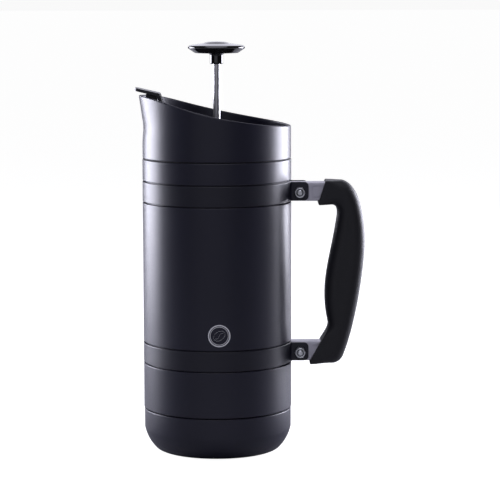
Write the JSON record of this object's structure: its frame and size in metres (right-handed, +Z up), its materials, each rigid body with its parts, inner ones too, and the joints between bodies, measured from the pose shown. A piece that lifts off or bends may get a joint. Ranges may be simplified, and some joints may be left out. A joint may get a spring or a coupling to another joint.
{
  "type": "french press",
  "caption": "Insulated french press: double-wall steel vessel with a spouted slanted collar, lid with spout flap, filter plunger and a side handle clamped on by straps.",
  "frame": {"origin": "on the vessel's axis, on the underside of the foot pad", "axes": "+Z up along the vessel and the plunger; +X towards the handle, -X towards the spout; +Y across the object"},
  "size_m": [0.1637, 0.106, 0.2922],
  "materials": {
    "powder_coat": "fine satin powder coat, blue black",
    "strap_coat": "satin paint, blue black",
    "brushed_steel": "brushed stainless steel",
    "polished_steel": "polished stainless rod",
    "filter_steel": "stamped stainless steel",
    "zinc": "bright zinc-plated steel",
    "die_cast": "bead-blasted die casting",
    "soft_touch": "soft-touch moulded rubber",
    "lid_plastic": "fine-grained moulded polypropylene",
    "flap_plastic": "satin moulded plastic",
    "knob_plastic": "polished phenolic",
    "nylon": "moulded nylon ring",
    "silicone": "moulded silicone",
    "resin": "sealing resin"
  },
  "bodies": {
    "vessel": {"foot_pad": "silicone", "base_cap": "powder_coat", "outer_shell": "powder_coat", "inner_liner": "brushed_steel", "shell_bottom": "brushed_steel", "vacuum_plug": "resin", "collar_gasket": "silicone", "spout_collar": "powder_coat", "lower_strap": "strap_coat", "lower_bolt": "zinc", "lower_nut": "zinc", "lower_nut_insert": "nylon", "upper_strap": "strap_coat", "upper_bolt": "zinc", "upper_nut": "zinc", "upper_nut_insert": "nylon", "handle_core": "die_cast", "handle_grip": "soft_touch"},
    "lid": {"lid_cover": "lid_plastic", "lid_base": "lid_plastic", "lid_seal": "silicone", "flap_pin": "brushed_steel"},
    "flap": {"spout_flap": "flap_plastic", "flap_plug": "silicone"},
    "bush": {"rod_bush": "lid_plastic"},
    "plunger": {"plunger_rod": "polished_steel", "knob": "knob_plastic", "knob_cap": "knob_plastic", "filter_top_plate": "filter_steel", "filter_edge_coil": "filter_steel", "filter_mesh": "filter_steel", "filter_bottom_plate": "filter_steel", "filter_hub_nut": "filter_steel"}
  },
  "joints": [
    {"name": "lid_lift", "type": "slide", "parent": "vessel", "child": "lid", "axis": [0, 0, 1], "range_m": [0, 0.2]},
    {"name": "spout_flap_open", "type": "hinge", "parent": "lid", "child": "flap", "pos_m": [-0.0392, 0, 0.2468], "axis": [0, 1, 0], "range_deg": [0, 85]},
    {"name": "plunger_turn", "type": "hinge", "parent": "lid", "child": "bush", "pos_m": [0, 0, 0.2322], "axis": [0, 0, 1], "continuous": true},
    {"name": "plunger_press", "type": "slide", "parent": "bush", "child": "plunger", "axis": [0, 0, -1], "range_m": [-0.137, 0.0395]}
  ]
}
